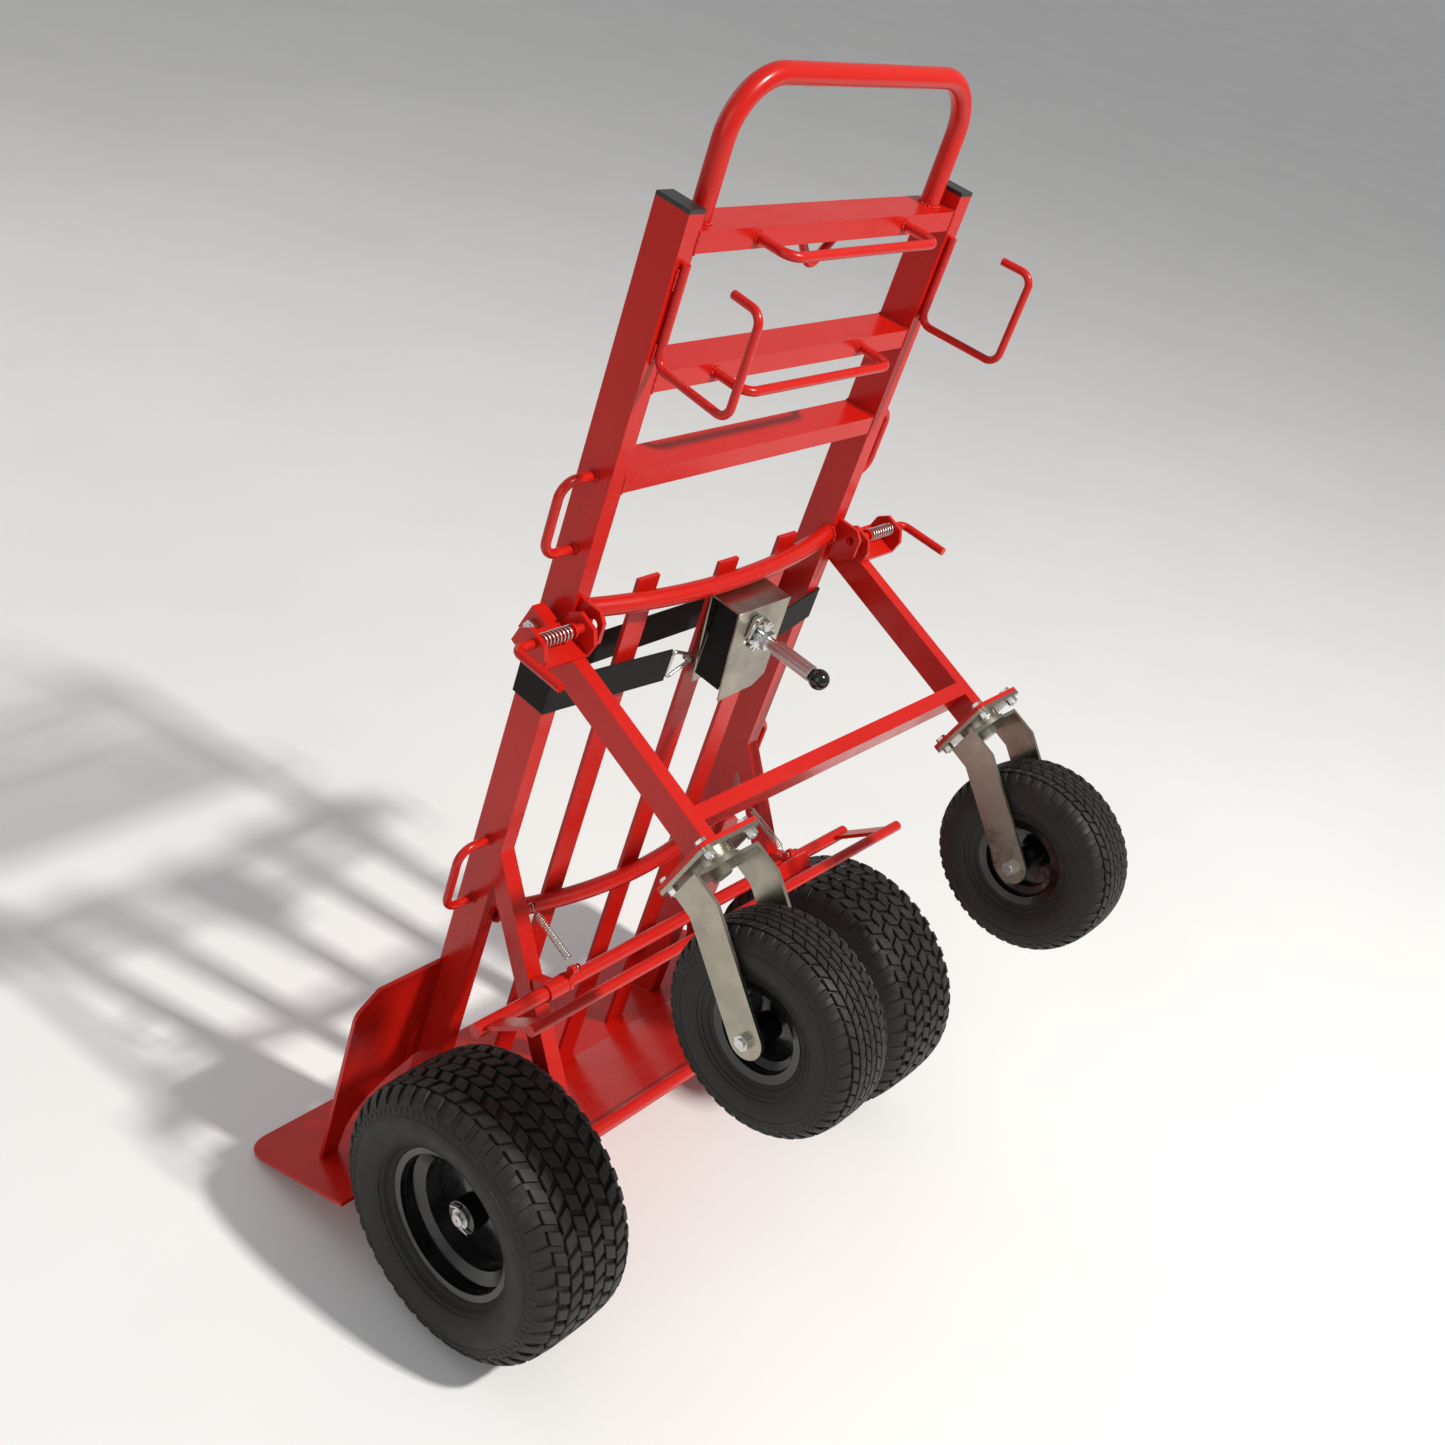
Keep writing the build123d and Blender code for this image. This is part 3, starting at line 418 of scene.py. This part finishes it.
# Shoulder lugs: start, end, height at each; sipes: start, end, height; ribs: place, height, width
MAIN_SHOULDER = (0.0615, 0.0860, 0.0060, 0.0014)
MAIN_SIPES = (0.0900, 0.0980, 0.0007)
MAIN_RIBS = [(0.101, 0.0007, 0.0016), (0.142, 0.0010, 0.003), (0.150, 0.0012, 0.002)]
SMALL_SHOULDER = (0.0322, 0.0470, 0.0033, 0.0008)
SMALL_SIPES = (0.0500, 0.0560, 0.0004)
SMALL_RIBS = [(0.060, 0.0006, 0.0012), (0.084, 0.0008, 0.002), (0.090, 0.0009, 0.0015)]
MAIN_PITCHES = 44
SMALL_PITCHES = 46
for side, tag in ((1, "left"), (-1, "right")):
    make_tyre(
        f"detailed_tyre_{tag}", MAIN, MAIN_ROWS, MAIN_PITCHES, MAIN_SHOULDER, MAIN_SIPES, MAIN_RIBS,
        f"tyre_{tag}", AXLE + Vector((side * WHEEL_X, 0, 0)), f"wheel_{tag}",
    )
    make_tyre(
        f"detailed_caster_tyre_{tag}", SMALL, SMALL_ROWS, SMALL_PITCHES,
        SMALL_SHOULDER, SMALL_SIPES, SMALL_RIBS,
        f"caster_tyre_{tag}", CASTER_HUB + Vector((side * CASTER_X, 0, 0)), f"caster_wheel_{tag[0]}",
    )


# ---------------------------------------------------------------- weld beads
def bead(name, points, body, closed, thickness=0.0022):
    """Rippled weld bead along points; each ripple is a small blob."""
    bm = bmesh.new()
    run = points + points[:1] if closed else points
    for a, b in zip(run, run[1:]):
        length = (b - a).length
        steps = max(1, int(length / (thickness * 0.9)))
        for i in range(steps):
            at = a.lerp(b, (i + random.uniform(-0.15, 0.15)) / steps)
            size = thickness * random.uniform(0.85, 1.15)
            bmesh.ops.create_icosphere(bm, subdivisions=1, radius=size, matrix=Matrix.Translation(at))
    mesh = bpy.data.meshes.new(name)
    bm.to_mesh(mesh)
    bm.free()
    for polygon in mesh.polygons:
        polygon.use_smooth = True
    mesh.materials.append(PAINT)
    obj = bpy.data.objects.new(name, mesh)
    bpy.context.collection.objects.link(obj)
    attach(obj, body)


def ring(centre, normal, radius, count=14):
    side = normal.orthogonal().normalized()
    other = normal.cross(side)
    turn = [2 * math.pi * k / count for k in range(count)]
    return [centre + (side * math.cos(t) + other * math.sin(t)) * radius for t in turn]


UP = direction(at_rail(0, 0, 0), at_rail(0, 1, 0))
REAR = direction(at_rail(0, 0, 0), at_rail(0, 0, 1))
ACROSS = Vector((1, 0, 0))
for side in (-1, 1):
    tag = "left" if side > 0 else "right"
    rings = []
    for s in (1.286, 1.188, 0.733, 0.628):
        rings.append(ring(at_rail(side * 0.2705, s, -0.025), ACROSS, 0.0065))
    for s in (1.5735, 1.4125):
        rings.append(ring(at_rail(side * 0.142, s, 0.0005), REAR, 0.0065))
    rings.append(ring(at_rail(side * 0.220, 1.5865, -0.025), UP, 0.013, 26))
    rings.append(ring(at_rail(side * 0.036, 1.5605, -0.020), UP, 0.006))
    rings.append(ring(at_rail(side * 0.2445, 1.110, -0.003), ACROSS, 0.013, 24))
    rings.append(ring(at_rail(side * 0.2445, 0.605, -0.002), ACROSS, 0.013, 24))
    for number, points in enumerate(rings):
        bead(f"weld_{tag}_{number}", points, "frame", True)
    for number, top in enumerate((1.586, 1.425, 1.297)):
        corners = [at_rail(side * 0.2447, s, n) for s, n in
                   ((top, 0), (top, -0.05), (top - 0.025, -0.05), (top - 0.025, 0))]
        bead(f"weld_crossbar_{tag}_{number}", corners, "frame", True, 0.0018)
    for number, s in enumerate((1.535, 1.450)):
        line = [at_rail(side * 0.2625, s - 0.012, 0.001), at_rail(side * 0.2625, s + 0.012, 0.001)]
        bead(f"weld_hook_{tag}_{number}", line, "frame", False)
    line = [at_rail(side * 0.2703, s, -0.050) for s in (0.47, 0.44, 0.41)]
    bead(f"weld_guard_{tag}_0", line, "frame", False)
    line = [at_rail(side * 0.2703, s, -0.050) for s in (0.36, 0.33)]
    bead(f"weld_guard_{tag}_1", line, "frame", False)
    foot = [from_truck(side * x, y, 0.1565) for x, y in
            ((0.2705, -0.112), (0.2705, -0.062), (0.2445, -0.062), (0.2445, -0.112))]
    bead(f"weld_foot_{tag}", foot, "frame", True, 0.0025)

# ---------------------------------------------------------------- floor, light, camera
bpy.ops.mesh.primitive_plane_add(size=400, location=(0, 0, -0.0005))
floor = bpy.context.object
floor.name = "floor"
pale = Nodes("floor")
pale.set(Base_Color=pale.ramp(pale.noise(1.2, 3), [(0.3, (0.80, 0.80, 0.80)), (0.7, (0.84, 0.84, 0.84))]))
pale.set(Roughness=0.85)
floor.data.materials.append(pale.mat)

world = bpy.data.worlds.new("studio")
bpy.context.scene.world = world
world.use_nodes = True
world.node_tree.nodes["Background"].inputs["Color"].default_value = (1.0, 1.0, 1.0, 1)
world.node_tree.nodes["Background"].inputs["Strength"].default_value = 0.36
bpy.context.scene.view_settings.view_transform = "Standard"


def area(name, place, target, size, power, colour=(1, 1, 1)):
    data = bpy.data.lights.new(name, "AREA")
    data.size = size
    data.energy = power
    data.color = colour
    lamp = bpy.data.objects.new(name, data)
    bpy.context.collection.objects.link(lamp)
    lamp.location = place
    lamp.rotation_euler = (Vector(target) - Vector(place)).to_track_quat("-Z", "Y").to_euler()


area("key", (-0.8, 3.7, 5.4), (0, 0, 0.7), 0.35, 400, (1.0, 0.97, 0.92))
area("fill", (4.5, 1.0, 2.6), (0, 0, 0.7), 3.0, 30)
area("front", (0.5, -4.5, 3.0), (0, 0, 0.8), 3.0, 25)

camera = bpy.data.cameras.new("camera")
camera.sensor_width = 36
camera.lens = 40.21
eye = bpy.data.objects.new("camera", camera)
bpy.context.collection.objects.link(eye)
right = Vector((-0.6393, 0.73634815, 0.22161788)).normalized()
back = Vector((0.7205, 0.47258876, 0.50745927)).normalized()
above = back.cross(right).normalized()
right = above.cross(back)
rotation = Matrix((right, above, back)).transposed()
eye.matrix_world = Matrix.Translation((1.56234, 0.93667, 1.89702)) @ rotation.to_4x4()
bpy.context.scene.camera = eye
